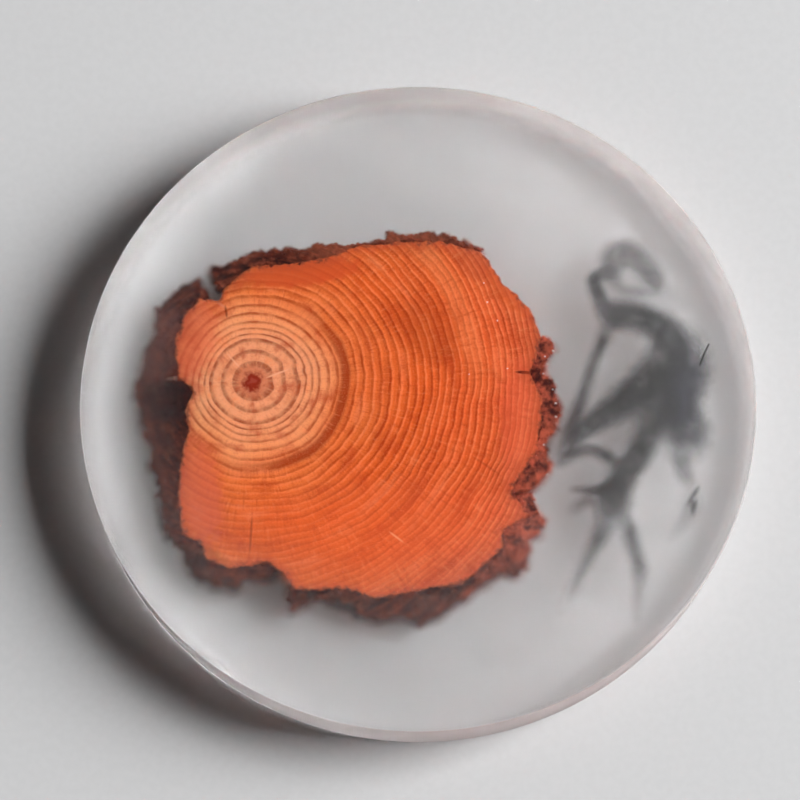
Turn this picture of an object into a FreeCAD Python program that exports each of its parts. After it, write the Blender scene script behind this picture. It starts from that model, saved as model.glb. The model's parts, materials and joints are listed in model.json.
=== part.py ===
"""Cast resin disc with a slice of red softwood and a wisp of black ink sealed inside it.

Millimetres. The origin is the centre of the flat underside, +Z is up through the thickness,
+X points from the wood towards the ink and +Y from the ink's forked tails towards its loop.
The disc is cast in two pours: the first sets as a floor, the wood and its loose bark are laid
on it, and the second pour, with the ink drawn into it, covers everything.
"""

import FreeCAD, Part
import Sketcher
import math
import os
from FreeCAD import Vector

DIMENSIONS = {
    "top_diameter": 90.0,      # across the upper arris
    "foot_diameter": 88.3,     # the wall leans in by its mould draft
    "thickness": 8.8,
    "first_pour": 3.4,         # height of the line between the two pours
    "arris_round": 0.35,
    "foot_round": 0.5,
    "slice_thickness": 4.5,
    "ink_floor": 4.4,          # underside of the deepest ink
    "ink_thickness": 0.85,     # each strand is one flat layer of ink
    "fibre_length": 2.6,
    "fibre_diameter": 0.2,
    "fibre_height": 8.15,
    "fibre_x": 38.0,
    "fibre_y": 7.3,
    "fibre_turn": 76.0,        # degrees from +X
}

# The wood alone, counter-clockwise from the tip of the split at its upper left.
WOOD = [
    (-26.5, 14.6), (-29.2, 14.9), (-31.1, 13.0), (-32.4, 9.0), (-32.0, 3.8), (-29.6, 2.3), (-30.8, 0.0),
    (-30.5, -3.5), (-31.5, -8.0), (-31.8, -12.7), (-31.1, -17.5), (-28.5, -19.5), (-27.9, -21.2),
    (-25.0, -22.5), (-19.9, -21.7), (-17.6, -23.3), (-16.3, -25.5), (-9.6, -25.3), (-5.7, -26.7),
    (1.5, -25.3), (5.7, -24.6), (8.9, -21.9), (11.1, -19.5), (11.4, -17.1), (15.0, -15.1), (12.1, -12.0),
    (15.9, -5.8), (16.6, 1.1), (14.9, 4.4), (16.4, 9.5), (15.6, 12.4), (13.4, 15.2), (11.4, 17.2),
    (8.4, 21.6), (4.0, 22.8), (-2.4, 23.0), (-8.2, 22.4), (-12.5, 20.6), (-17.0, 19.9), (-22.2, 19.6),
    (-25.9, 16.5),
]

# Each broken length of bark: its weathered outside first, then a line inside the wood that it is
# trimmed back from.
BARK = {
    "bark_left": [
        (-29.5, 18.0), (-32.3, 16.5), (-34.9, 13.5), (-34.9, 11.0), (-36.4, 7.2), (-37.6, 2.0), (-36.7, -1.5),
        (-34.6, -9.3), (-33.7, -14.4), (-33.0, -17.5), (-31.1, -19.8), (-30.2, -22.3), (-27.5, -18.0),
        (-29.5, -8.0), (-28.5, 2.3), (-30.0, 12.0), (-27.5, 14.0),
    ],
    "bark_lower_left": [
        (-29.9, -22.7), (-28.9, -23.6), (-23.5, -25.0), (-23.3, -23.5), (-18.9, -23.2), (-18.4, -22.0),
        (-25.0, -20.5), (-27.2, -18.3),
    ],
    "bark_bottom": [
        (-17.0, -24.6), (-16.5, -28.0), (-13.7, -26.3), (-8.9, -27.3), (-7.0, -29.1), (-2.5, -29.0),
        (0.4, -29.7), (3.7, -28.0), (5.0, -27.0), (5.2, -23.0), (-5.5, -24.5), (-15.5, -24.0),
    ],
    "bark_lower_right": [
        (5.4, -26.7), (10.5, -22.9), (13.4, -22.9), (14.5, -20.9), (14.3, -18.1), (16.1, -17.5), (16.6, -15.7),
        (14.4, -12.2), (11.5, -12.2), (11.0, -15.5), (7.5, -21.0), (5.6, -23.2),
    ],
    "bark_right": [
        (14.7, -11.6), (17.6, -8.6), (16.8, -4.8), (18.2, -3.1), (18.7, 0.0), (17.9, 2.8), (16.8, 4.5),
        (16.9, 5.9), (18.2, 8.6), (16.8, 9.8), (15.0, 9.2), (13.5, 4.4), (14.5, -4.0), (11.8, -11.6),
    ],
    "bark_top": [
        (8.7, 22.0), (4.5, 23.8), (0.8, 24.5), (-2.4, 24.3), (-4.1, 24.8), (-4.1, 21.8), (7.5, 20.5),
    ],
    "bark_top_left": [
        (-4.4, 23.1), (-7.0, 23.0), (-10.6, 22.4), (-13.1, 23.0), (-15.8, 22.0), (-20.4, 22.2), (-23.1, 21.4),
        (-25.0, 20.1), (-28.0, 19.8), (-26.4, 16.6), (-22.0, 18.0), (-12.5, 19.0), (-4.6, 21.6),
    ],
}

# Ink drawn out as strands: the layer it lies in, counted up from the deepest, then the points of
# its middle line and its width at each.
STRANDS = {
    "ink_arch": (2, [(24.3, 14.4, 1.6), (28.9, 13.6, 2.2), (34.0, 11.6, 2.4), (38.0, 9.0, 1.8), (39.5, 4.6, 0.8)]),
    "ink_left_strand": (1, [(25.0, 11.6, 0.9), (22.8, 5.4, 0.9), (20.9, -0.8, 1.3), (19.0, -7.0, 0.8)]),
    "ink_cross_strand": (0, [(18.0, -9.0, 0.8), (21.4, -6.4, 1.2), (24.6, -6.6, 1.3), (27.4, -9.6, 1.5)]),
    "ink_stem": (2, [(31.0, -5.4, 2.6), (27.6, -9.2, 2.6), (25.6, -13.6, 2.2)]),
    "ink_hook": (1, [(25.0, -11.2, 1.6), (21.2, -11.3, 1.2), (19.6, -14.6, 0.8)]),
    "ink_left_tail": (1, [(25.4, -14.2, 2.0), (22.4, -20.8, 1.6), (19.1, -28.3, 0.8)]),
    "ink_right_tail": (0, [(26.6, -13.4, 2.0), (29.2, -21.0, 1.8), (28.9, -28.3, 0.8)]),
    "ink_drip": (2, [(35.6, -1.6, 1.6), (38.2, -4.8, 2.6), (36.4, -9.2, 1.6)]),
    "ink_speck": (0, [(36.4, -13.0, 1.6), (34.4, -17.2, 0.8)]),
}

# Ink spread as sheets: the layer, the outline, and the round clear window left in it.
SHEETS = {
    "ink_loop": (
        1,
        [(23.4, 18.6), (24.4, 21.6), (26.8, 23.4), (29.6, 23.2), (31.8, 21.4), (33.8, 18.4), (33.4, 16.6),
         (29.8, 15.8), (26.6, 15.0), (24.2, 15.4)],
        (28.9, 18.6, 1.9),
    ),
    "ink_plume": (
        3,
        [(31.0, 11.0), (36.4, 8.6), (37.2, 2.0), (34.6, -3.2), (31.0, -8.4), (26.6, -9.2), (21.6, -7.0),
         (19.6, -4.2), (24.2, -1.4), (28.6, 3.6)],
        (26.4, -5.1, 1.7),
    ),
}


def make_sheet(doc):
    """Driving dimensions, one named cell each."""
    sheet = doc.addObject("Spreadsheet::Sheet", "Dimensions")
    for row, (name, value) in enumerate(DIMENSIONS.items(), start=1):
        sheet.set(f"A{row}", name)
        sheet.set(f"B{row}", str(value))
        sheet.setAlias(f"B{row}", name)
    doc.recompute()
    return sheet


def origin_plane(body, role):
    """One of the body's own origin planes."""
    return next(feature for feature in body.Origin.OriginFeatures if feature.Role == role)


def new_body(doc, name):
    """An empty body whose label is the sub-part's name."""
    body = doc.addObject("PartDesign::Body", name)
    body.Label = name
    return body


def new_sketch(body, name, role):
    """A sketch on one of the body's origin planes."""
    sketch = body.newObject("Sketcher::SketchObject", name)
    sketch.AttachmentSupport = [(origin_plane(body, role), "")]
    sketch.MapMode = "FlatFace"
    return sketch


def draw_polygon(sketch, points):
    """Closed outline of straight edges through the points, each edge held where it is drawn."""
    count = len(points)
    for index in range(count):
        start = Vector(*points[index], 0)
        end = Vector(*points[(index + 1) % count], 0)
        sketch.addGeometry(Part.LineSegment(start, end), False)
    for index in range(count):
        sketch.addConstraint(Sketcher.Constraint("Coincident", index, 2, (index + 1) % count, 1))
    for index in range(count):
        sketch.addConstraint(Sketcher.Constraint("Block", index))


def pad_from(body, sketch, height, length):
    """Pad of a bound length, standing on a sketch raised to a bound height."""
    sketch.setExpression("AttachmentOffset.Base.z", height)
    pad = body.newObject("PartDesign::Pad", f"{body.Name}_pad")
    pad.Profile = sketch
    pad.setExpression("Length", length)
    body.Tip = pad
    return pad


def layer_height(layer):
    """Expression for the underside of an ink layer."""
    return f"Dimensions.ink_floor + {layer} * Dimensions.ink_thickness"


def pour_profile(sketch, radii, heights):
    """Half section of one pour, closed on the Z axis: its radius and height at the foot and at the top."""
    low = DIMENSIONS["first_pour"]
    wide = DIMENSIONS["top_diameter"] / 2
    corners = [Vector(0, 0, 0), Vector(wide, 0, 0), Vector(wide, low, 0), Vector(0, low, 0)]
    for index in range(4):
        sketch.addGeometry(Part.LineSegment(corners[index], corners[(index + 1) % 4]), False)
    for index in range(4):
        sketch.addConstraint(Sketcher.Constraint("Coincident", index, 2, (index + 1) % 4, 1))
    sketch.addConstraint(Sketcher.Constraint("Horizontal", 0))
    sketch.addConstraint(Sketcher.Constraint("Horizontal", 2))
    sketch.addConstraint(Sketcher.Constraint("Vertical", 3))
    foot_radius = sketch.addConstraint(Sketcher.Constraint("DistanceX", 0, 1, 0, 2, wide))
    top_radius = sketch.addConstraint(Sketcher.Constraint("DistanceX", 2, 2, 2, 1, wide))
    top_height = sketch.addConstraint(Sketcher.Constraint("DistanceY", -1, 1, 2, 2, 2 * low))
    if heights[0] is None:
        sketch.addConstraint(Sketcher.Constraint("Coincident", 0, 1, -1, 1))
    else:
        sketch.addConstraint(Sketcher.Constraint("PointOnObject", 0, 1, -2))
        foot_height = sketch.addConstraint(Sketcher.Constraint("DistanceY", -1, 1, 0, 1, low))
        sketch.setExpression(f"Constraints[{foot_height}]", heights[0])
    sketch.setExpression(f"Constraints[{foot_radius}]", radii[0])
    sketch.setExpression(f"Constraints[{top_radius}]", radii[1])
    sketch.setExpression(f"Constraints[{top_height}]", heights[1])


def make_pour(doc, name, radii, heights, round_height, round_size):
    """One pour as a turned body, with its outer edge at round_height softened."""
    body = new_body(doc, name)
    sketch = new_sketch(body, f"{name}_section", "XZ_Plane")
    pour_profile(sketch, radii, heights)
    turned = body.newObject("PartDesign::Revolution", f"{name}_turned")
    turned.Profile = sketch
    turned.ReferenceAxis = (sketch, ["V_Axis"])
    turned.Angle = 360
    body.Tip = turned
    doc.recompute()
    rim = [
        f"Edge{number}"
        for number, edge in enumerate(turned.Shape.Edges, start=1)
        if isinstance(edge.Curve, Part.Circle) and abs(edge.CenterOfMass.z - round_height) < 0.01
    ]
    fillet = body.newObject("PartDesign::Fillet", f"{name}_rounded")
    fillet.Base = (turned, rim)
    fillet.setExpression("Radius", round_size)
    body.Tip = fillet
    return body


def make_wood(doc):
    """The slice without its bark, lying on the first pour."""
    body = new_body(doc, "wood_slice")
    sketch = new_sketch(body, "wood_outline", "XY_Plane")
    draw_polygon(sketch, WOOD)
    pad_from(body, sketch, "Dimensions.first_pour", "Dimensions.slice_thickness")
    return body


def make_bark(doc, name, points, wood):
    """One length of bark, trimmed to the wood that it grew on."""
    blank = new_body(doc, f"{name}_blank")
    sketch = new_sketch(blank, f"{name}_outline", "XY_Plane")
    draw_polygon(sketch, points)
    pad_from(blank, sketch, "Dimensions.first_pour", "Dimensions.slice_thickness")
    piece = doc.addObject("Part::Cut", name)
    piece.Label = name
    piece.Base = blank
    piece.Tool = wood
    return piece


def strand_outline(points):
    """Outline round a middle line, half the stated width to each side of it."""
    left = []
    right = []
    last = len(points) - 1
    for index, (x, y, width) in enumerate(points):
        before = points[max(index - 1, 0)]
        after = points[min(index + 1, last)]
        along = Vector(after[0] - before[0], after[1] - before[1], 0).normalize()
        across = Vector(-along.y, along.x, 0) * (width / 2)
        left.append((x + across.x, y + across.y))
        right.append((x - across.x, y - across.y))
    return right + left[::-1]


def make_strand(doc, name, layer, points):
    """One drawn-out strand of ink in its own layer."""
    body = new_body(doc, name)
    sketch = new_sketch(body, f"{name}_outline", "XY_Plane")
    draw_polygon(sketch, strand_outline(points))
    pad_from(body, sketch, layer_height(layer), "Dimensions.ink_thickness")
    return body


def make_ink_sheet(doc, name, layer, points, window):
    """One spread sheet of ink with a round clear window in it."""
    body = new_body(doc, name)
    sketch = new_sketch(body, f"{name}_outline", "XY_Plane")
    draw_polygon(sketch, points)
    x, y, radius = window
    sketch.addGeometry(Part.Circle(Vector(x, y, 0), Vector(0, 0, 1), radius), False)
    pad_from(body, sketch, layer_height(layer), "Dimensions.ink_thickness")
    return body


def make_fibre(doc, sheet):
    """A stray fibre lying flat just under the top face."""
    fibre = doc.addObject("Part::Cylinder", "fibre")
    fibre.Label = "fibre"
    fibre.setExpression("Radius", "Dimensions.fibre_diameter / 2")
    fibre.setExpression("Height", "Dimensions.fibre_length")
    turn = math.radians(sheet.fibre_turn)
    along = Vector(math.cos(turn), math.sin(turn), 0)
    middle = Vector(sheet.fibre_x, sheet.fibre_y, sheet.fibre_height)
    start = middle - along * (sheet.fibre_length / 2)
    fibre.Placement = FreeCAD.Placement(start, FreeCAD.Rotation(Vector(0, 0, 1), along))
    return fibre


def make_second_pour(doc, seam_radius, inclusions):
    """The covering pour, with the bed of every inclusion left in it."""
    blank = make_pour(
        doc,
        "top_pour_blank",
        (seam_radius, "Dimensions.top_diameter / 2"),
        ("Dimensions.first_pour", "Dimensions.thickness"),
        DIMENSIONS["thickness"],
        "Dimensions.arris_round",
    )
    beds = doc.addObject("Part::MultiFuse", "beds")
    beds.Shapes = inclusions
    pour = doc.addObject("Part::Cut", "top_pour")
    pour.Label = "top_pour"
    pour.Base = blank
    pour.Tool = beds
    return pour


def check_document(doc):
    """Stop on any feature that recompute left unfinished."""
    for item in doc.Objects:
        if "Invalid" in item.State or "Error" in item.State:
            raise RuntimeError(f"{item.Label} did not build: {item.State}")


def check_overlaps(pieces):
    """Stop if any two pieces share volume."""
    for index, first in enumerate(pieces):
        for second in pieces[index + 1:]:
            if first.Shape.BoundBox.intersect(second.Shape.BoundBox):
                shared = first.Shape.common(second.Shape).Volume
                if shared > 0.001:
                    raise RuntimeError(f"{first.Label} and {second.Label} share {shared:.3f} mm3")


def export(pieces):
    """One STEP file for each sub-part, named by its label."""
    os.makedirs("parts", exist_ok=True)
    for piece in pieces:
        shape = piece.Shape
        if shape.isNull() or not shape.isValid() or len(shape.Solids) != 1:
            raise RuntimeError(f"{piece.Label} is not one sound solid")
        shape.exportStep(f"parts/{piece.Label}.step")
        print(f"{piece.Label}: {shape.Volume:.1f} mm3")


def main():
    doc = FreeCAD.newDocument("ResinDisc")
    sheet = make_sheet(doc)

    seam_radius = (
        "(Dimensions.foot_diameter + (Dimensions.top_diameter - Dimensions.foot_diameter)"
        " * Dimensions.first_pour / Dimensions.thickness) / 2"
    )
    base_pour = make_pour(
        doc,
        "base_pour",
        ("Dimensions.foot_diameter / 2", seam_radius),
        (None, "Dimensions.first_pour"),
        0.0,
        "Dimensions.foot_round",
    )

    wood = make_wood(doc)
    inclusions = [wood]
    for name, points in BARK.items():
        inclusions.append(make_bark(doc, name, points, wood))
    for name, (layer, points) in STRANDS.items():
        inclusions.append(make_strand(doc, name, layer, points))
    for name, (layer, points, window) in SHEETS.items():
        inclusions.append(make_ink_sheet(doc, name, layer, points, window))
    inclusions.append(make_fibre(doc, sheet))
    top_pour = make_second_pour(doc, seam_radius, inclusions)

    doc.recompute()
    check_document(doc)
    pieces = [base_pour, top_pour] + inclusions
    check_overlaps(pieces)
    export(pieces)


main()
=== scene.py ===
"""Satin cast resin disc with a slice of red softwood and a wisp of black ink sealed inside it."""

import bpy
import json
import math
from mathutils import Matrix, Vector
from mathutils.kdtree import KDTree

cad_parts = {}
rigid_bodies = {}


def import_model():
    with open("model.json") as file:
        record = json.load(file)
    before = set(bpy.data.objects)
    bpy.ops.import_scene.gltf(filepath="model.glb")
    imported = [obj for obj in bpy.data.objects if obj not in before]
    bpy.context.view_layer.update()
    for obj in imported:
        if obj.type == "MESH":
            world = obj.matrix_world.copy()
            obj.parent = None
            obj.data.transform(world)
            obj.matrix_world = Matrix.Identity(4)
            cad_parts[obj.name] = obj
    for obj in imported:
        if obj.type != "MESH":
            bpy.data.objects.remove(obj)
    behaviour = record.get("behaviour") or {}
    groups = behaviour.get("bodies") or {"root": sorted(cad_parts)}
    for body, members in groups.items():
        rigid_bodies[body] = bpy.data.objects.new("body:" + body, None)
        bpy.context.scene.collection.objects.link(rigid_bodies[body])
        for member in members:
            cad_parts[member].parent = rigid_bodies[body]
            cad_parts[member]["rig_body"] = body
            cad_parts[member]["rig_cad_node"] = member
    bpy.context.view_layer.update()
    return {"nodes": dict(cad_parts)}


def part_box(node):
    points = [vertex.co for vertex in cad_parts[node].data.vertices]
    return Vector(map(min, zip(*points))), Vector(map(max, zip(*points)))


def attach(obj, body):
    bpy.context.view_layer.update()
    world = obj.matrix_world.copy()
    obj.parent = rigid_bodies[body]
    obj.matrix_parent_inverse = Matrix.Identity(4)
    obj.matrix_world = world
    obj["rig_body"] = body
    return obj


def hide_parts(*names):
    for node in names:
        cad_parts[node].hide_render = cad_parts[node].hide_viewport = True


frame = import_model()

MM = 0.001


top_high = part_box("top_pour")[1]
wood_low, wood_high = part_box("wood_slice")
THICKNESS = top_high.z
RIM_RADIUS = top_high.x
WALL_LEAN = 0.85 * MM
FOOT_RADIUS = RIM_RADIUS - WALL_LEAN
FOOT_ROUND = 0.5 * MM
ARRIS = 0.28 * MM
CLEARANCE = 0.02 * MM
WOOD_TOP = wood_high.z
WOOD_FOOT = wood_low.z

PITH = Vector((-22.0 * MM, 3.3 * MM, WOOD_TOP))
BARK_REACH = 4.5 * MM
BARK_DROP = 1.8 * MM
BARK_NODES = [
    "bark_left", "bark_lower_left", "bark_bottom", "bark_lower_right",
    "bark_right", "bark_top", "bark_top_left",
]


# ---------------------------------------------------------------- small helpers

def deselect():
    """Nothing selected, nothing in edit mode."""
    if bpy.context.object and bpy.context.object.mode != "OBJECT":
        bpy.ops.object.mode_set(mode="OBJECT")
    bpy.ops.object.select_all(action="DESELECT")


def pick(piece):
    """Only this piece selected and active."""
    deselect()
    piece.select_set(True)
    bpy.context.view_layer.objects.active = piece


def apply_modifiers(piece):
    """Every modifier worked into the mesh, in order."""
    pick(piece)
    for name in [modifier.name for modifier in piece.modifiers]:
        bpy.ops.object.modifier_apply(modifier=name)


def place_in_mesh(piece):
    """The object's own place, turn and scale moved into its mesh."""
    pick(piece)
    bpy.ops.object.transform_apply(location=True, rotation=True, scale=True)


def linear(red, green, blue):
    """A display colour, 0 to 255, as a shader colour."""
    values = []
    for channel in (red, green, blue):
        part = channel / 255
        values.append(part / 12.92 if part <= 0.04045 else ((part + 0.055) / 1.055) ** 2.4)
    return (*values, 1.0)


class Nodes:
    """Short way to add and join a material's nodes."""

    def __init__(self, name):
        self.material = bpy.data.materials.new(name)
        self.material.use_nodes = True
        self.tree = self.material.node_tree
        self.tree.nodes.clear()
        self.output = self.tree.nodes.new("ShaderNodeOutputMaterial")

    def add(self, kind, **settings):
        """A new node of one kind, with its settings."""
        node = self.tree.nodes.new("ShaderNode" + kind)
        for key, value in settings.items():
            setattr(node, key, value)
        return node

    def join(self, source, target):
        """A link from one socket to another."""
        self.tree.links.new(source, target)

    def math(self, operation, first, second=None, third=None, clamp=False):
        """Sum on numbers or sockets, as an output socket."""
        node = self.add("Math", operation=operation, use_clamp=clamp)
        for socket, value in zip(node.inputs, (first, second, third)):
            if value is None:
                continue
            if isinstance(value, (int, float)):
                socket.default_value = value
            else:
                self.join(value, socket)
        return node.outputs[0]

    def vector(self, operation, first, second=None):
        """Sum on vectors or sockets, as a node, because its result may be a vector or a value."""
        node = self.add("VectorMath", operation=operation)
        for socket, value in zip(node.inputs, (first, second)):
            if value is None:
                continue
            if isinstance(value, (tuple, list, Vector)):
                socket.default_value = value
            else:
                self.join(value, socket)
        return node

    def position(self):
        """Place in the object's own frame, in metres."""
        return self.add("TexCoord").outputs["Object"]

    def noise(self, where, scale, detail=3.0, rough=0.5, distortion=0.0):
        """Cloudy pattern, about 0.3 to 0.7 over most of its area."""
        node = self.add("TexNoise")
        self.join(where, node.inputs["Vector"])
        node.inputs["Scale"].default_value = scale
        node.inputs["Detail"].default_value = detail
        node.inputs["Roughness"].default_value = rough
        node.inputs["Distortion"].default_value = distortion
        return node.outputs["Fac"]

    def ramp(self, factor, stops):
        """Colour or grey level by a value, from stops of place and colour."""
        node = self.add("ValToRGB")
        node.color_ramp.interpolation = "LINEAR"
        while len(node.color_ramp.elements) < len(stops):
            node.color_ramp.elements.new(0.5)
        for element, (place, colour) in zip(node.color_ramp.elements, stops):
            element.position = place
            element.color = colour if isinstance(colour, tuple) else (colour, colour, colour, 1.0)
        self.join(factor, node.inputs["Fac"])
        return node.outputs["Color"]

    def mix(self, factor, first, second):
        """The first colour at factor 0 and the second at 1."""
        node = self.add("Mix", data_type="RGBA", blend_type="MIX")
        sockets = {socket.identifier: socket for socket in node.inputs}
        for name, value in (("Factor_Float", factor), ("A_Color", first), ("B_Color", second)):
            if isinstance(value, (int, float, tuple)):
                sockets[name].default_value = value
            else:
                self.join(value, sockets[name])
        return next(socket for socket in node.outputs if socket.identifier == "Result_Color")

    def patch(self, where, centre, size, turn=0.0, ragged=0.0):
        """Mask of one soft oval: its centre and half sizes in millimetres, its turn in degrees."""
        oval = self.add("Mapping", vector_type="TEXTURE")
        self.join(where, oval.inputs["Vector"])
        oval.inputs["Location"].default_value = (*centre, 0.0)
        oval.inputs["Rotation"].default_value = (0.0, 0.0, math.radians(turn))
        oval.inputs["Scale"].default_value = (*size, 1.0)
        away = self.vector("LENGTH", oval.outputs["Vector"]).outputs["Value"]
        if ragged:
            wobble = self.math("SUBTRACT", self.noise(where, 0.9, detail=4.0, rough=0.6), 0.5)
            away = self.math("MULTIPLY_ADD", wobble, ragged, away)
        return self.smooth_range(away, 0.55, 1.1, 1.0, 0.0)

    def smooth_range(self, value, low, high, to_low=0.0, to_high=1.0):
        """A value carried from one range to another with soft ends, and held outside it."""
        node = self.add("MapRange", interpolation_type="SMOOTHSTEP")
        self.join(value, node.inputs["Value"])
        node.inputs["From Min"].default_value = low
        node.inputs["From Max"].default_value = high
        node.inputs["To Min"].default_value = to_low
        node.inputs["To Max"].default_value = to_high
        return node.outputs["Result"]


# ---------------------------------------------------------------- finishes

def rubbed_resin(name, tint, front_shade_tint, left_roughness, right_roughness, whiteness, frost):
    """Clear cast resin with a rubbed skin: its tints, the second of them painted shade on the front, the side
    away from the lamp; roughness at each side, whiteness and frost.
    """
    paint = Nodes(name)
    where = paint.position()
    turned = paint.add("Mapping")
    turned.inputs["Rotation"].default_value = (0.0, 0.0, math.radians(62))
    turned.inputs["Scale"].default_value = (14000.0, 420.0, 420.0)
    paint.join(where, turned.inputs["Vector"])
    rubbing = paint.noise(turned.outputs["Vector"], 1.0, detail=2.0, rough=0.6)
    blotches = paint.noise(where, 160.0, detail=3.0)
    grain = paint.noise(where, 26000.0, detail=0.0)
    marks = paint.smooth_range(rubbing, 0.56, 0.74)
    place = paint.vector("MULTIPLY", where, (1000.0, 1000.0, 0.0)).outputs["Vector"]
    over_wood = paint.patch(place, (-6.0, 2.0), (30.0, 30.0))
    haze = paint.math("MULTIPLY_ADD", over_wood, -0.8 * frost, frost)
    height = paint.math("MULTIPLY", paint.math("MULTIPLY_ADD", marks, 0.12, grain), haze)
    bump = paint.add("Bump")
    bump.inputs["Strength"].default_value = 1.0
    bump.inputs["Distance"].default_value = 0.01 * MM
    paint.join(height, bump.inputs["Height"])
    side = paint.add("SeparateXYZ")
    paint.join(where, side.inputs["Vector"])
    rough = paint.smooth_range(
        side.outputs["X"], -0.9 * RIM_RADIUS, 0.5 * RIM_RADIUS, left_roughness, right_roughness
    )
    rough = paint.math("ADD", rough, paint.smooth_range(blotches, 0.3, 0.7, -0.02, 0.02))
    shader = paint.add("BsdfPrincipled")
    worn = paint.math("MULTIPLY_ADD", marks, 0.5, paint.smooth_range(blotches, 0.42, 0.7, 0.0, 0.5))
    tone = paint.mix(worn, (*tint, 1.0), (*[0.94 * part for part in tint], 1.0))
    # Painted shade: the front of the piece, the side away from the lamp, takes a darker and pinker tint.
    towards_front = paint.vector("DOT_PRODUCT", where, (0.36, -0.93, 0.0)).outputs["Value"]
    shaded_front = paint.smooth_range(towards_front, 0.78 * RIM_RADIUS, 0.98 * RIM_RADIUS)
    tone = paint.mix(shaded_front, tone, (*front_shade_tint, 1.0))
    paint.join(tone, shader.inputs["Base Color"])
    shader.inputs["Transmission Weight"].default_value = 1.0 - whiteness
    shader.inputs["IOR"].default_value = 1.5
    paint.join(rough, shader.inputs["Roughness"])
    paint.join(bump.outputs["Normal"], shader.inputs["Normal"])
    paint.join(shader.outputs["BSDF"], paint.output.inputs["Surface"])
    return paint.material


# Radius from the pith, in millimetres, and the count of growth rings inside it.
RING_COUNTS = [
    (0.0, 0.0), (2.8, 1.0), (4.4, 2.0), (6.1, 3.0), (6.8, 4.0), (7.6, 5.0), (8.5, 6.0),
    (9.7, 7.0), (10.9, 8.0), (12.3, 9.0), (22.6, 19.0), (31.0, 28.5), (38.5, 39.0), (48.0, 53.0),
]
RING_SPAN = 60.0
FALSE_RING = 12.2

# Marks on the sawn face: centre and half sizes in millimetres, turn in degrees, strength and colour.
WOOD_MARKS = [
    ((-15.5, 18.6), (9.5, 2.4), 7.0, 0.85, linear(220, 100, 54)),
    ((-31.0, 8.5), (4.6, 8.5), -20.0, 0.55, linear(230, 114, 82)),
    ((-29.0, -12.0), (3.6, 9.0), 8.0, 0.6, linear(226, 116, 86)),
    ((-28.5, -20.5), (4.5, 1.5), -28.0, 0.6, linear(176, 112, 50)),
    ((1.5, 10.5), (4.2, 6.0), 25.0, 0.3, linear(176, 78, 34)),
    ((7.5, 19.5), (3.6, 2.0), -42.0, 0.35, linear(196, 92, 58)),
    ((13.8, -3.0), (3.6, 12.0), 0.0, 0.45, linear(240, 122, 86)),
    ((12.5, 16.5), (2.4, 5.0), 35.0, 0.5, linear(228, 112, 52)),
    ((-10.0, -17.5), (20.0, 8.0), 10.0, 0.22, linear(236, 128, 84)),
]
WOOD_CRACKS = [
    ((14.4, 4.6), (1.7, 0.26), -4.0, 1.0, linear(74, 30, 22)),
    ((-25.6, 13.1), (0.16, 1.0), 8.0, 0.7, linear(110, 44, 28)),
    ((-26.4, 14.2), (0.9, 0.22), -35.0, 0.6, linear(236, 168, 130)),
    ((-22.1, -18.0), (0.16, 2.9), -3.0, 0.55, linear(150, 64, 44)),
    ((-18.6, 4.5), (1.9, 0.16), 22.0, 0.8, linear(250, 206, 168)),
    ((-24.6, 6.3), (1.5, 0.14), -50.0, 0.7, linear(250, 206, 168)),
    ((-2.9, -18.2), (1.3, 0.16), -38.0, 0.9, linear(250, 190, 140)),
    ((9.0, -8.3), (2.6, 0.18), -35.0, 0.35, linear(160, 66, 36)),
]


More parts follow.
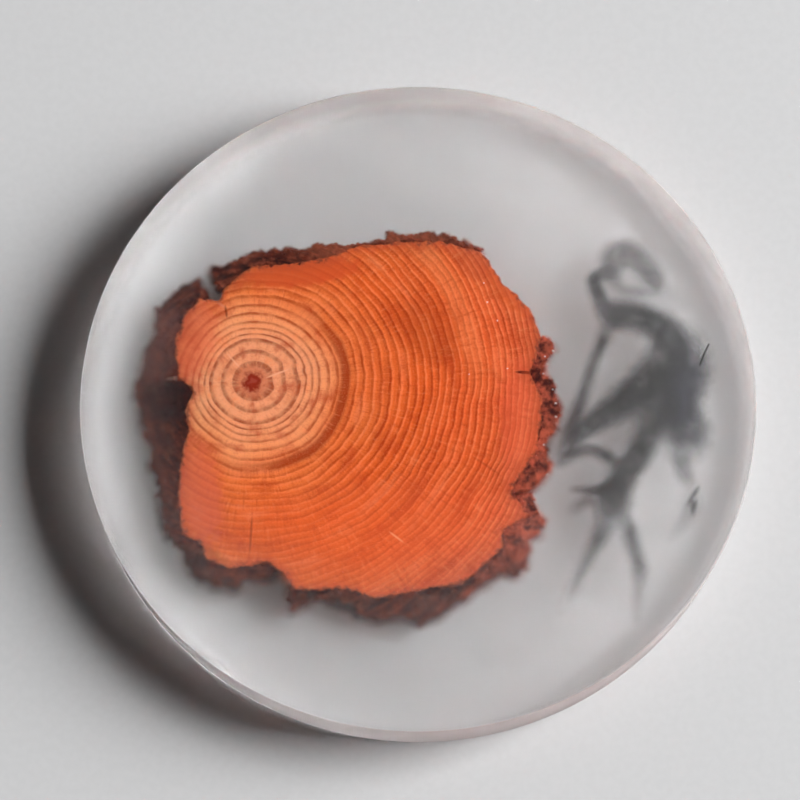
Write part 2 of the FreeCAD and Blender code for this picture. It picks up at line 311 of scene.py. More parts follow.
def end_grain():
    """Red softwood across the grain: pith, rings with dark late wood, one thick false ring, fine rays."""
    paint = Nodes("end_grain")
    place = paint.vector("MULTIPLY", paint.position(), (1000.0, 1000.0, 0.0)).outputs["Vector"]
    flat = paint.vector("SUBTRACT", place, (PITH.x / MM, PITH.y / MM, 0.0)).outputs["Vector"]
    first = paint.vector("LENGTH", flat).outputs["Value"]
    drift = paint.add("CombineXYZ")
    paint.join(paint.math("MULTIPLY", first, 0.055), drift.inputs["X"])
    centred = paint.vector("SUBTRACT", flat, drift.outputs["Vector"]).outputs["Vector"]
    radius = paint.vector("LENGTH", centred).outputs["Value"]
    split = paint.add("SeparateXYZ")
    paint.join(centred, split.inputs["Vector"])
    angle = paint.math("ARCTAN2", split.outputs["Y"], split.outputs["X"])

    slow = paint.noise(flat, 0.11, detail=1.0)
    quick = paint.noise(flat, 0.6, detail=3.0, rough=0.6)
    reach = paint.smooth_range(radius, 2.0, 16.0, 0.5, 1.0)
    sway = paint.math("MULTIPLY", paint.math("SUBTRACT", slow, 0.5), 1.5)
    ripple = paint.math("MULTIPLY", paint.math("SUBTRACT", quick, 0.5), 0.4)
    wavering = paint.math("MULTIPLY_ADD", paint.math("ADD", sway, ripple), reach, radius)
    dent = paint.patch(place, (-17.6, 4.2), (2.8, 1.7), 20.0, ragged=0.5)
    wavering = paint.math("MULTIPLY_ADD", dent, 0.4, wavering)

    curve = paint.add("FloatCurve")
    line = curve.mapping.curves[0]
    while len(line.points) < len(RING_COUNTS):
        line.points.new(0.5, 0.5)
    for point, (at, count) in zip(line.points, RING_COUNTS):
        point.location = (at / RING_SPAN, count / RING_SPAN)
        point.handle_type = "VECTOR"
    curve.mapping.update()
    paint.join(paint.math("DIVIDE", wavering, RING_SPAN), curve.inputs["Value"])
    count = paint.math("MULTIPLY", curve.outputs["Value"], RING_SPAN)
    within = paint.math("FRACT", count)
    ring = paint.math("FLOOR", count)

    young = paint.ramp(within, [
        (0.0, 0.9), (0.08, 0.1), (0.3, 0.0), (0.62, 0.12), (0.8, 0.85), (0.92, 1.0), (1.0, 0.95),
    ])
    grown = paint.ramp(within, [
        (0.0, 0.6), (0.08, 0.0), (0.24, 0.0), (0.42, 0.26), (0.66, 0.42), (0.8, 1.0), (0.92, 1.0), (1.0, 0.6),
    ])
    late = paint.mix(paint.smooth_range(radius, 9.0, 15.0), young, grown)
    own = paint.add("TexWhiteNoise", noise_dimensions="1D")
    paint.join(ring, own.inputs["W"])
    arcs = paint.add("CombineXYZ")
    paint.join(paint.math("MULTIPLY", radius, 0.5), arcs.inputs["X"])
    paint.join(paint.math("MULTIPLY", angle, 3.4), arcs.inputs["Y"])
    patchy = paint.noise(arcs.outputs["Vector"], 1.0, detail=4.0, rough=0.6)
    strength = paint.math(
        "MULTIPLY",
        paint.smooth_range(own.outputs["Value"], 0.0, 1.0, 0.8, 1.0),
        paint.smooth_range(patchy, 0.34, 0.62, 0.42, 1.0),
    )
    lower_left = paint.smooth_range(
        paint.vector("DOT_PRODUCT", flat, (0.2, 0.98, 0.0)).outputs["Value"], -21.0, -4.0, 0.42, 1.0
    )
    late = paint.math("MULTIPLY", paint.math("MULTIPLY", late, strength), lower_left)

    ring_band = paint.math("ABSOLUTE", paint.math("SUBTRACT", wavering, FALSE_RING - 0.35))
    ring_side = paint.smooth_range(paint.math("SINE", paint.math("ADD", angle, 2.05)), -0.2, 0.9)
    false_ring = paint.math("MULTIPLY", paint.smooth_range(ring_band, 0.3, 1.0, 1.0, 0.0), ring_side)

    uneven = paint.math("MULTIPLY_ADD", paint.math("SUBTRACT", slow, 0.5), 7.0, radius)
    hue = paint.math("DIVIDE", uneven, 44.0)
    early = paint.ramp(hue, [
        (0.00, linear(250, 194, 152)), (0.14, linear(254, 200, 154)), (0.21, linear(255, 192, 136)),
        (0.29, linear(248, 152, 82)), (0.45, linear(242, 126, 54)), (0.66, linear(242, 126, 64)),
        (0.84, linear(244, 128, 82)), (1.0, linear(242, 130, 96)),
    ])
    dark = paint.ramp(hue, [
        (0.00, linear(150, 78, 50)), (0.12, linear(158, 82, 54)), (0.20, linear(186, 96, 54)),
        (0.29, linear(184, 72, 22)), (0.50, linear(178, 62, 16)), (0.75, linear(180, 62, 24)),
        (1.0, linear(190, 72, 42)),
    ])
    wood = paint.mix(late, early, dark)
    first_wood = paint.ramp(within, [(0.0, 0.1), (0.07, 1.0), (0.2, 0.8), (0.36, 0.0)])
    lit = paint.math("MULTIPLY", first_wood, paint.smooth_range(patchy, 0.4, 0.66, 0.6, 0.08))
    lit = paint.math("MULTIPLY", lit, lower_left)
    lit = paint.math("MULTIPLY", lit, paint.smooth_range(radius, 10.0, 15.0))
    wood = paint.mix(lit, wood, linear(253, 174, 116))
    from_arc = paint.math("ABSOLUTE", paint.math("SUBTRACT", wavering, 28.0))
    pale_arc = paint.smooth_range(from_arc, 0.6, 1.9, 1.0, 0.0)
    from_side = paint.math("ABSOLUTE", paint.math("SUBTRACT", angle, 0.45))
    pale_side = paint.smooth_range(from_side, 0.25, 0.6, 0.45, 0.0)
    wood = paint.mix(paint.math("MULTIPLY", pale_arc, pale_side), wood, linear(246, 160, 100))
    wood = paint.mix(paint.math("MULTIPLY", false_ring, 0.85), wood, linear(166, 68, 30))

    bands = paint.add("CombineXYZ")
    paint.join(paint.math("MULTIPLY", radius, 0.34), bands.inputs["X"])
    paint.join(paint.math("MULTIPLY", angle, 1.6), bands.inputs["Y"])
    drift_of_tone = paint.noise(bands.outputs["Vector"], 1.0, detail=4.0, rough=0.65)
    wood = paint.mix(paint.smooth_range(drift_of_tone, 0.5, 0.7, 0.0, 0.62), wood, linear(194, 76, 36))
    wood = paint.mix(paint.smooth_range(drift_of_tone, 0.28, 0.46, 0.55, 0.0), wood, linear(254, 166, 110))

    fibres = paint.add("CombineXYZ")
    paint.join(paint.math("MULTIPLY", angle, 60.0), fibres.inputs["X"])
    paint.join(paint.math("MULTIPLY", radius, 0.5), fibres.inputs["Y"])
    rays = paint.noise(fibres.outputs["Vector"], 1.0, detail=3.0, rough=0.6)
    stain = paint.noise(flat, 0.26, detail=6.0, rough=0.66)
    cells = paint.noise(flat, 5.5, detail=2.0, rough=0.7)
    wood = paint.mix(paint.smooth_range(rays, 0.5, 0.74, 0.0, 0.42), wood, linear(184, 68, 30))
    wood = paint.mix(paint.smooth_range(rays, 0.26, 0.46, 0.36, 0.0), wood, linear(255, 176, 118))
    wood = paint.mix(paint.smooth_range(stain, 0.5, 0.76, 0.0, 0.55), wood, linear(196, 78, 32))
    wood = paint.mix(paint.smooth_range(cells, 0.52, 0.72, 0.0, 0.42), wood, linear(255, 170, 110))
    wood = paint.mix(paint.smooth_range(cells, 0.28, 0.46, 0.45, 0.0), wood, linear(172, 58, 18))
    for centre, size, turn, depth, colour in WOOD_MARKS:
        mask = paint.patch(place, centre, size, turn, ragged=0.9)
        wood = paint.mix(paint.math("MULTIPLY", mask, depth), wood, colour)

    star = paint.noise(flat, 1.1, detail=3.0, rough=0.6)
    star_radius = paint.math("MULTIPLY_ADD", paint.math("SUBTRACT", star, 0.5), 2.4, first)
    wood = paint.mix(paint.smooth_range(star_radius, 1.5, 2.7, 0.6, 0.0), wood, linear(204, 118, 84))
    wood = paint.mix(paint.smooth_range(star_radius, 0.8, 1.7, 1.0, 0.0), wood, linear(150, 50, 32))
    wood = paint.mix(paint.smooth_range(star_radius, 0.1, 0.8, 0.6, 0.0), wood, linear(180, 88, 74))
    for centre, size, turn, depth, colour in WOOD_CRACKS:
        mask = paint.patch(place, centre, size, turn, ragged=0.5)
        wood = paint.mix(paint.math("MULTIPLY", mask, depth), wood, colour)

    margin = paint.add("Attribute", attribute_name="from_edge").outputs["Fac"]
    chewed = paint.noise(flat, 1.1, detail=5.0, rough=0.65)
    edge = paint.math("MULTIPLY_ADD", paint.math("SUBTRACT", chewed, 0.5), 2.6, margin)
    wood = paint.mix(paint.smooth_range(edge, 0.0, 1.6, 0.55, 0.0), wood, linear(206, 96, 62))
    wood = paint.mix(paint.smooth_range(edge, -0.35, 0.35, 0.9, 0.0), wood, linear(120, 66, 52))

    shader = paint.add("BsdfPrincipled")
    paint.join(wood, shader.inputs["Base Color"])
    shader.inputs["Roughness"].default_value = 0.8
    shader.inputs["Specular IOR Level"].default_value = 0.0
    paint.join(shader.outputs["BSDF"], paint.output.inputs["Surface"])
    return paint.material


def old_bark():
    """Flaking bark: dark plates with red-brown edges, laid in layers round the pith, with painted haze on the
    outer left and partly painted catch light on the right.
    """
    paint = Nodes("old_bark")
    place = paint.vector("MULTIPLY", paint.position(), (1000.0, 1000.0, 1000.0)).outputs["Vector"]
    offset = paint.vector("SUBTRACT", place, (PITH.x / MM, PITH.y / MM, 0.0)).outputs["Vector"]
    split = paint.add("SeparateXYZ")
    paint.join(offset, split.inputs["Vector"])
    angle = paint.math("ARCTAN2", split.outputs["Y"], split.outputs["X"])
    flat = paint.vector("MULTIPLY", offset, (1.0, 1.0, 0.0)).outputs["Vector"]
    radius = paint.vector("LENGTH", flat).outputs["Value"]
    plates = paint.add("CombineXYZ")
    paint.join(paint.math("MULTIPLY", radius, 1.7), plates.inputs["X"])
    paint.join(paint.math("MULTIPLY", angle, 5.0), plates.inputs["Y"])
    paint.join(paint.math("MULTIPLY", split.outputs["Z"], 0.6), plates.inputs["Z"])
    layers = paint.noise(plates.outputs["Vector"], 0.9, detail=6.0, rough=0.7, distortion=0.3)
    crumbs = paint.noise(place, 0.6, detail=6.0, rough=0.72)
    colour = paint.ramp(layers, [
        (0.32, linear(36, 14, 14)), (0.42, linear(66, 28, 20)), (0.52, linear(102, 44, 30)),
        (0.62, linear(142, 68, 46)), (0.74, linear(188, 108, 80)),
    ])
    colour = paint.mix(paint.smooth_range(crumbs, 0.5, 0.68, 0.0, 0.75), colour, linear(170, 88, 64))
    colour = paint.mix(paint.smooth_range(crumbs, 0.34, 0.5, 0.85, 0.0), colour, linear(44, 18, 20))
    left = paint.smooth_range(split.outputs["X"], -11.0, -3.0, 0.62, 0.0)
    colour = paint.mix(left, colour, paint.mix(layers, linear(48, 10, 8), linear(108, 38, 26)))
    flat_place = paint.vector("MULTIPLY", place, (1.0, 1.0, 0.0)).outputs["Vector"]
    knot = paint.patch(flat_place, (-33.0, 1.0), (4.5, 3.6), 0.0, ragged=0.8)
    colour = paint.mix(paint.math("MULTIPLY", knot, 0.7), colour, linear(46, 18, 22))
    streak = paint.patch(flat_place, (-32.0, 3.9), (1.8, 0.35), 4.0, ragged=0.5)
    colour = paint.mix(paint.math("MULTIPLY", streak, 0.85), colour, linear(186, 140, 128))
    # Painted haze: a lighter pinkish-grey patch on the outer left bark stands in for the veil of light that
    # the resin lays over it.
    painted_haze = paint.patch(flat_place, (-34.5, 8.5), (4.5, 6.5), -25.0, ragged=0.8)
    colour = paint.mix(paint.math("MULTIPLY", painted_haze, 0.28), colour, linear(160, 112, 104))
    top = paint.patch(flat_place, (-5.0, 22.5), (13.0, 5.0), 0.0, ragged=0.6)
    flaky = paint.mix(layers, linear(96, 44, 32), linear(222, 128, 96))
    colour = paint.mix(paint.math("MULTIPLY", top, 0.5), colour, flaky)
    # Partly painted light: towards the right, the side facing the lamp, the bark's crumbs mix dark red-brown
    # with a light warm pink that stands in for the catch light along that edge.
    right = paint.smooth_range(split.outputs["X"], 24.0, 38.0, 0.0, 0.75)
    colour = paint.mix(right, colour, paint.mix(
        paint.smooth_range(crumbs, 0.36, 0.62), linear(76, 30, 28), linear(222, 108, 80)
    ))
    low = paint.smooth_range(split.outputs["Y"], -26.0, -20.0, 0.45, 0.0)
    colour = paint.mix(low, colour, linear(84, 28, 18))
    shader = paint.add("BsdfPrincipled")
    paint.join(colour, shader.inputs["Base Color"])
    shader.inputs["Roughness"].default_value = 0.9
    shader.inputs["Specular IOR Level"].default_value = 0.0
    paint.join(shader.outputs["BSDF"], paint.output.inputs["Surface"])
    return paint.material


def drawn_ink():
    """Black ink drawn through resin: streaked along its length, thinning to nothing at its edges."""
    paint = Nodes("drawn_ink")
    thickness = paint.add("Attribute", attribute_name="ink_strength").outputs["Fac"]
    across = paint.add("SeparateXYZ")
    paint.join(paint.add("UVMap").outputs["UV"], across.inputs["Vector"])
    where = paint.position()
    wisps = paint.noise(where, 520.0, detail=4.0, rough=0.6, distortion=0.6)
    fine = paint.noise(where, 2400.0, detail=2.0)
    side = paint.math("ABSOLUTE", paint.math("MULTIPLY_ADD", across.outputs["Y"], 2.0, -1.0))
    ragged = paint.math("MULTIPLY_ADD", paint.math("SUBTRACT", wisps, 0.5), 0.55, side)
    body = paint.smooth_range(ragged, 0.22, 1.0, 1.0, 0.0)
    shade = paint.smooth_range(wisps, 0.28, 0.72, 0.62, 1.0)
    shade = paint.math("MULTIPLY", shade, paint.smooth_range(fine, 0.3, 0.7, 0.88, 1.0))
    cover = paint.math("MULTIPLY", paint.math("MULTIPLY", body, shade), thickness, clamp=True)
    colour = paint.mix(paint.smooth_range(cover, 0.1, 0.6), linear(96, 96, 102), linear(50, 50, 50))
    place = paint.vector("MULTIPLY", where, (1000.0, 1000.0, 0.0)).outputs["Vector"]
    violet = paint.patch(place, (37.6, 0.0), (4.6, 12.0), 0.0, ragged=0.6)
    colour = paint.mix(paint.math("MULTIPLY", violet, 0.8), colour, linear(68, 68, 82))
    shader = paint.add("BsdfPrincipled")
    paint.join(colour, shader.inputs["Base Color"])
    shader.inputs["Roughness"].default_value = 0.9
    shader.inputs["Specular IOR Level"].default_value = 0.0
    paint.join(cover, shader.inputs["Alpha"])
    paint.join(shader.outputs["BSDF"], paint.output.inputs["Surface"])
    return paint.material


def plain(name, colour, roughness, specular=0.5):
    """One even finish with a little mottling in its colour."""
    paint = Nodes(name)
    mottle = paint.noise(paint.position(), 900.0, detail=3.0)
    darker = (*[0.97 * part for part in colour[:3]], 1.0)
    shade = paint.mix(paint.smooth_range(mottle, 0.3, 0.7), colour, darker)
    shader = paint.add("BsdfPrincipled")
    paint.join(shade, shader.inputs["Base Color"])
    shader.inputs["Roughness"].default_value = roughness
    shader.inputs["Specular IOR Level"].default_value = specular
    paint.join(shader.outputs["BSDF"], paint.output.inputs["Surface"])
    return paint.material


# ---------------------------------------------------------------- the casting

def select_faces(piece, wanted):
    """In face mode, only the faces that the test accepts are selected."""
    bpy.ops.object.mode_set(mode="OBJECT")
    for vertex in piece.data.vertices:
        vertex.select = False
    for edge in piece.data.edges:
        edge.select = False
    for face in piece.data.polygons:
        face.select = wanted(face)
    bpy.ops.object.mode_set(mode="EDIT")
    bpy.ops.mesh.select_mode(type="FACE")


def cast_disc(top, wall, foot):
    """Both pours as the one clear body that they cure into: leaning wall, soft foot and crisp arris."""
    deselect()
    bpy.ops.mesh.primitive_cylinder_add(
        vertices=256, radius=RIM_RADIUS - CLEARANCE, depth=THICKNESS, location=(0, 0, THICKNESS / 2)
    )
    disc = bpy.context.object
    disc.name = "cast_resin"
    place_in_mesh(disc)
    bpy.ops.object.mode_set(mode="EDIT")
    select_faces(disc, lambda face: face.normal.z < -0.5)
    bpy.ops.transform.resize(value=(FOOT_RADIUS / RIM_RADIUS, FOOT_RADIUS / RIM_RADIUS, 1.0))
    bpy.ops.mesh.bevel(offset=FOOT_ROUND, segments=5)
    select_faces(disc, lambda face: face.normal.z > 0.5)
    bpy.ops.mesh.bevel(offset=ARRIS, segments=4)
    select_faces(disc, lambda face: face.normal.z > 0.99 and face.area > 100 * MM * MM)
    bpy.ops.mesh.inset(thickness=1.5 * MM)
    bpy.ops.mesh.inset(thickness=6 * MM)
    bpy.ops.mesh.inset(thickness=12 * MM)
    bpy.ops.object.mode_set(mode="OBJECT")
    pick(disc)
    bpy.ops.object.shade_smooth_by_angle(angle=math.radians(40))
    for finish in (top, wall, foot):
        disc.data.materials.append(finish)
    for face in disc.data.polygons:
        if face.normal.z > 0.5:
            face.material_index = 0
        elif face.normal.z < -0.9:
            face.material_index = 2
        else:
            face.material_index = 1
    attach(disc, "root")
    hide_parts("base_pour", "top_pour")
    return disc


# ---------------------------------------------------------------- the wood

def roughen(piece, name, size, strength, direction):
    """Crumbling of the edge by a cloud pattern, pushed one way."""
    pattern = bpy.data.textures.new(name, "CLOUDS")
    pattern.noise_scale = size
    pattern.noise_depth = 4
    pattern.noise_basis = "ORIGINAL_PERLIN"
    push = piece.modifiers.new(name, "DISPLACE")
    push.texture = pattern
    push.texture_coords = "LOCAL"
    push.direction = direction
    push.strength = strength
    push.mid_level = 0.5


def carved_copy(node, name, voxel):
    """A closed, evenly meshed copy of a CAD node, to be worked as one piece."""
    pick(frame["nodes"][node])
    bpy.ops.object.duplicate()
    piece = bpy.context.object
    piece.name = name
    piece.data.name = name
    piece.parent = None
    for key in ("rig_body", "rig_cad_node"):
        del piece[key]
    piece.data.materials.clear()
    bpy.ops.object.mode_set(mode="EDIT")
    bpy.ops.mesh.select_all(action="SELECT")
    bpy.ops.mesh.remove_doubles(threshold=0.001 * MM)
    bpy.ops.object.mode_set(mode="OBJECT")
    remesh = piece.modifiers.new("even mesh", "REMESH")
    remesh.mode = "VOXEL"
    remesh.voxel_size = voxel
    return piece


def outline_tree(node):
    """The top outline of a CAD node as points to measure from, a quarter of a millimetre apart."""
    mesh = frame["nodes"][node].data
    spots = []
    for edge in mesh.edges:
        start, end = (mesh.vertices[index].co for index in edge.vertices)
        if min(start.z, end.z) < WOOD_TOP - 0.01 * MM:
            continue
        steps = max(1, int((end - start).length / (0.25 * MM)))
        spots += [start.lerp(end, step / steps) for step in range(steps + 1)]
    tree = KDTree(len(spots))
    for index, spot in enumerate(spots):
        tree.insert(spot, index)
    tree.balance()
    return tree


def sawn_slice(grain):
    """The sawn slice, flat on both faces and rough round its edge."""
    piece = carved_copy("wood_slice", "red_wood", 0.3 * MM)
    roughen(piece, "edge sway along x", 2.6 * MM, 1.0 * MM, "X")
    roughen(piece, "edge sway along y", 2.2 * MM, 1.0 * MM, "Y")
    roughen(piece, "edge bite along x", 0.8 * MM, 0.8 * MM, "X")
    roughen(piece, "edge bite along y", 0.7 * MM, 0.8 * MM, "Y")
    apply_modifiers(piece)
    bpy.ops.object.shade_smooth_by_angle(angle=math.radians(35))
    measure_edge(piece)
    piece.data.materials.append(grain)
    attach(piece, "root")
    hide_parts("wood_slice")
    return piece


def measure_edge(piece):
    """Each point's distance in millimetres from the slice's own edge, kept on the mesh for its colours."""
    low, high = WOOD_FOOT + 1 * MM, WOOD_TOP - 1 * MM
    sides = [vertex.co for vertex in piece.data.vertices if low < vertex.co.z < high]
    tree = KDTree(len(sides))
    for index, spot in enumerate(sides):
        tree.insert((spot.x, spot.y, 0), index)
    tree.balance()
    margin = piece.data.attributes.new("from_edge", "FLOAT", "POINT")
    for vertex in piece.data.vertices:
        margin.data[vertex.index].value = tree.find((vertex.co.x, vertex.co.y, 0))[2] / MM


def sink_outside(piece, wood_edge, reach, depth):
    """The bark's top falls away from the wood, more the further out it is."""
    group = piece.vertex_groups.new(name="outside")
    for vertex in piece.data.vertices:
        away = wood_edge.find(vertex.co)[2]
        lift = (vertex.co.z - WOOD_FOOT) / (WOOD_TOP - WOOD_FOOT)
        group.add([vertex.index], min(1.0, away / reach) * max(0.0, lift), "REPLACE")
    sink = piece.modifiers.new("sink", "DISPLACE")
    sink.direction = "Z"
    sink.vertex_group = "outside"
    sink.mid_level = 0.0
    sink.strength = -depth
    apply_modifiers(piece)


def bark_length(node, bark, wood_edge):
    """One broken length of bark, crumbled all over and lower at its outside."""
    piece = carved_copy(node, node.replace("bark", "old_bark"), 0.2 * MM)
    apply_modifiers(piece)
    sink_outside(piece, wood_edge, BARK_REACH, BARK_DROP)
    for axis in "XY":
        roughen(piece, node + " flakes along " + axis, 1.5 * MM, 2.8 * MM, axis)
        roughen(piece, node + " crumbs along " + axis, 0.6 * MM, 1.8 * MM, axis)
    roughen(piece, node + " flakes along z", 0.9 * MM, 1.0 * MM, "Z")
    apply_modifiers(piece)
    bpy.ops.object.shade_smooth_by_angle(angle=math.radians(50))
    piece.data.materials.append(bark)
    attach(piece, "root")
    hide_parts(node)
    return piece


# ---------------------------------------------------------------- the ink

# Each node's strands: points of a strand's middle line as x, y, z, half width and strength, in millimetres.
INK = {
    "ink_loop": [
        [
            (26.4, 10.8, 6.8, 1.4, 0.00), (25.0, 13.4, 6.8, 1.3, 0.92), (24.0, 15.9, 6.8, 1.2, 0.90),
            (23.3, 18.0, 6.8, 1.2, 0.90), (24.6, 18.7, 6.8, 1.1, 0.84), (26.1, 18.7, 6.8, 1.1, 0.70),
            (27.4, 18.4, 6.8, 0.8, 0.00),
        ],
        [
            (26.8, 16.7, 6.0, 0.8, 0.00), (26.0, 18.2, 6.0, 1.4, 0.82), (25.7, 20.4, 6.0, 1.9, 0.80),
            (26.9, 22.2, 6.0, 2.2, 0.80), (29.0, 21.4, 6.0, 2.3, 0.82), (31.0, 19.2, 6.0, 2.0, 0.80),
            (32.3, 17.0, 6.0, 1.5, 0.80), (30.6, 16.2, 6.0, 0.9, 0.44), (28.6, 16.3, 6.0, 0.9, 0.44),
            (26.8, 16.7, 6.0, 0.9, 0.36), (25.8, 17.6, 6.0, 0.8, 0.00),
        ],
        [
            (22.8, 15.8, 5.4, 2.6, 0.00), (26.0, 16.8, 5.4, 3.4, 0.34), (29.6, 16.4, 5.4, 3.6, 0.34),
            (33.2, 14.8, 5.4, 3.0, 0.28), (36.2, 12.8, 5.4, 1.8, 0.00),
        ],
    ],
    "ink_arch": [
        [
            (23.8, 12.2, 6.8, 1.4, 0.00), (24.9, 12.7, 6.8, 2.2, 0.97), (27.2, 12.9, 6.8, 2.4, 0.98),
            (29.5, 12.5, 6.8, 2.4, 0.98), (31.8, 11.5, 6.8, 2.6, 0.98), (33.6, 10.0, 6.8, 2.8, 0.97),
            (34.6, 8.0, 6.8, 2.8, 0.90), (35.2, 5.0, 6.8, 2.2, 0.00),
        ],
    ],
    "ink_plume": [
        [
            (18.6, -8.0, 6.6, 0.5, 0.00), (19.6, -5.6, 6.8, 1.0, 0.86), (21.4, -3.8, 7.0, 1.3, 0.93),
            (24.0, -1.8, 7.1, 1.9, 0.97), (27.2, 0.4, 7.2, 2.6, 0.98), (30.0, 2.4, 7.2, 3.3, 0.98),
            (32.2, 4.8, 7.2, 3.4, 0.98), (33.2, 7.4, 7.2, 3.1, 0.97), (33.4, 9.8, 7.2, 2.8, 0.92),
            (33.0, 12.6, 7.2, 1.8, 0.00),
        ],
        [
            (34.6, 6.0, 6.4, 2.2, 0.00), (34.2, 3.0, 6.4, 2.6, 0.86), (33.8, 0.0, 6.4, 2.4, 0.86),
            (33.2, -2.6, 6.4, 2.2, 0.80), (32.8, -4.6, 6.4, 1.6, 0.00),
        ],
    ],
    "ink_left_strand": [
        [
            (26.4, 13.2, 6.0, 1.6, 0.00), (25.4, 11.0, 5.8, 1.3, 0.92), (24.0, 8.1, 5.4, 0.9, 0.86),
            (22.9, 4.9, 5.4, 0.9, 0.84), (21.9, 1.7, 5.4, 1.0, 0.85), (20.9, -1.3, 5.3, 1.2, 0.86),
            (19.8, -4.5, 5.2, 1.2, 0.82), (18.8, -7.7, 5.2, 0.8, 0.00),
        ],
    ],
    "ink_cross_strand": [
        [
            (18.3, -8.4, 5.6, 0.5, 0.00), (19.3, -7.0, 5.6, 1.0, 0.86), (20.8, -6.0, 5.6, 1.0, 0.90),
            (22.5, -5.5, 5.7, 1.0, 0.90), (24.4, -6.1, 5.8, 1.0, 0.90), (25.9, -7.4, 5.9, 1.0, 0.90),
            (27.4, -9.2, 6.0, 0.9, 0.00),
        ],
    ],
    "ink_stem": [
        [
            (32.4, 5.0, 6.6, 2.4, 0.00), (31.9, 1.2, 6.6, 2.6, 0.92), (31.3, -1.4, 6.6, 2.5, 0.95),
            (30.4, -4.3, 6.6, 2.2, 0.96), (29.0, -7.0, 6.6, 2.0, 0.98), (27.4, -9.3, 6.6, 2.0, 0.98),
            (26.2, -11.6, 6.5, 2.5, 0.98), (25.6, -13.8, 6.4, 2.7, 0.98), (25.3, -15.8, 6.3, 2.2, 0.86),
            (25.0, -17.6, 6.2, 1.2, 0.00),
        ],
    ],
    "ink_hook": [
        [
            (27.2, -10.2, 6.2, 1.4, 0.00), (25.6, -11.0, 6.2, 1.3, 0.90), (23.8, -11.4, 6.2, 0.9, 0.90),
            (21.9, -11.5, 6.1, 0.6, 0.88), (20.5, -11.3, 6.0, 0.4, 0.60), (19.9, -11.2, 6.0, 0.3, 0.00),
        ],
        [
            (24.8, -12.4, 5.4, 1.2, 0.00), (23.8, -12.4, 5.4, 1.1, 0.60), (22.3, -12.7, 5.4, 1.1, 0.60),
            (20.9, -13.3, 5.3, 0.9, 0.50), (20.2, -14.9, 5.2, 0.8, 0.00),
        ],
    ],
    "ink_left_tail": [
        [
            (25.2, -13.8, 5.8, 1.8, 0.00), (24.8, -16.1, 5.6, 1.5, 0.90), (23.7, -18.4, 5.4, 1.2, 0.84),
            (22.4, -20.8, 5.2, 1.0, 0.78), (21.0, -23.6, 5.0, 0.9, 0.66), (19.9, -26.0, 4.9, 0.8, 0.50),
            (18.7, -28.6, 4.8, 0.6, 0.00),
        ],
    ],
    "ink_right_tail": [
        [
            (26.4, -12.8, 5.2, 1.4, 0.00), (27.6, -15.7, 5.2, 1.3, 0.90), (28.3, -18.1, 5.1, 1.1, 0.88),
            (28.8, -20.5, 5.0, 1.1, 0.86), (29.4, -22.6, 5.0, 1.3, 0.90), (29.2, -24.2, 5.0, 1.0, 0.70),
            (28.8, -26.8, 4.9, 0.8, 0.50), (28.6, -30.0, 4.8, 0.7, 0.00),
        ],
    ],
    "ink_drip": [
        [
            (34.8, 12.4, 7.4, 1.4, 0.00), (35.6, 10.4, 7.4, 2.2, 0.74), (36.2, 8.0, 7.5, 2.7, 0.93),
            (36.4, 5.4, 7.5, 3.1, 0.97), (35.8, 2.8, 7.5, 3.1, 0.97), (35.0, 0.6, 7.5, 3.0, 0.97),
            (35.1, -1.6, 7.5, 3.3, 0.97), (35.5, -4.0, 7.5, 3.6, 0.96), (35.3, -6.0, 7.5, 3.2, 0.92),
            (34.8, -8.6, 7.5, 2.2, 0.00),
        ],
        [
            (35.0, -5.2, 6.6, 1.4, 0.00), (34.8, -6.9, 6.6, 1.5, 0.72), (35.0, -8.4, 6.6, 1.4, 0.70),
            (35.6, -10.0, 6.6, 1.2, 0.66), (36.4, -12.2, 6.6, 0.9, 0.00),
        ],
    ],
    "ink_speck": [
        [
            (37.3, -10.9, 7.6, 0.25, 0.00), (36.9, -11.6, 7.6, 0.35, 0.80), (36.4, -12.4, 7.6, 0.45, 0.82),
            (35.9, -13.3, 7.6, 0.35, 0.74), (35.5, -14.2, 7.6, 0.25, 0.00),
        ],
        [
            (36.8, -12.6, 7.6, 0.25, 0.00), (36.6, -13.3, 7.6, 0.45, 0.80), (36.4, -14.0, 7.6, 0.45, 0.84),
            (36.3, -14.8, 7.6, 0.35, 0.70), (36.2, -15.6, 7.6, 0.25, 0.00),
        ],
        [
            (36.6, -10.2, 5.2, 0.9, 0.00), (36.4, -12.8, 5.2, 1.3, 0.56), (36.0, -14.4, 5.2, 1.3, 0.52),
            (34.6, -16.4, 5.2, 1.0, 0.34), (32.4, -18.8, 5.2, 0.8, 0.00),
        ],
    ],
}
VEILS = 3
VEIL_GAP = 0.3
VEIL_SLIDE = 0.12
VEIL_REACH = 1.25
VEIL_ARCH = 0.16


def across_line():
    """Cross-section of a veil: a shallow arch, a little over one unit to each side."""
    bpy.ops.curve.primitive_nurbs_path_add()
    line = bpy.context.object
    line.name = "veil_section"
    points = line.data.splines[0].points
    for index, point in enumerate(points):
        side = index / (len(points) - 1) * 2 - 1
        point.co = (VEIL_REACH * side * MM, VEIL_ARCH * (1 - side * side) * MM, 0.0, 1.0)
    line.data.splines[0].use_endpoint_u = True
    line.data.resolution_u = 4
    return line


def one_veil(section, points, lift, slide):
    """One thin sheet of ink along a middle line."""
    deselect()
    bpy.ops.curve.primitive_nurbs_path_add()
    veil = bpy.context.object
    spline = veil.data.splines[0]
    spline.points.add(len(points) - len(spline.points))
    for point, (x, y, z, half, _strength) in zip(spline.points, points):
        point.co = ((x + slide) * MM, (y + slide / 2) * MM, (z + lift) * MM, 1.0)
        point.radius = half
    spline.order_u = 4
    spline.use_endpoint_u = True
    veil.data.resolution_u = 10
    veil.data.twist_mode = "Z_UP"
    veil.data.bevel_mode = "OBJECT"
    veil.data.bevel_object = section
    pick(veil)
    bpy.ops.object.convert(target="MESH")
    return bpy.context.object


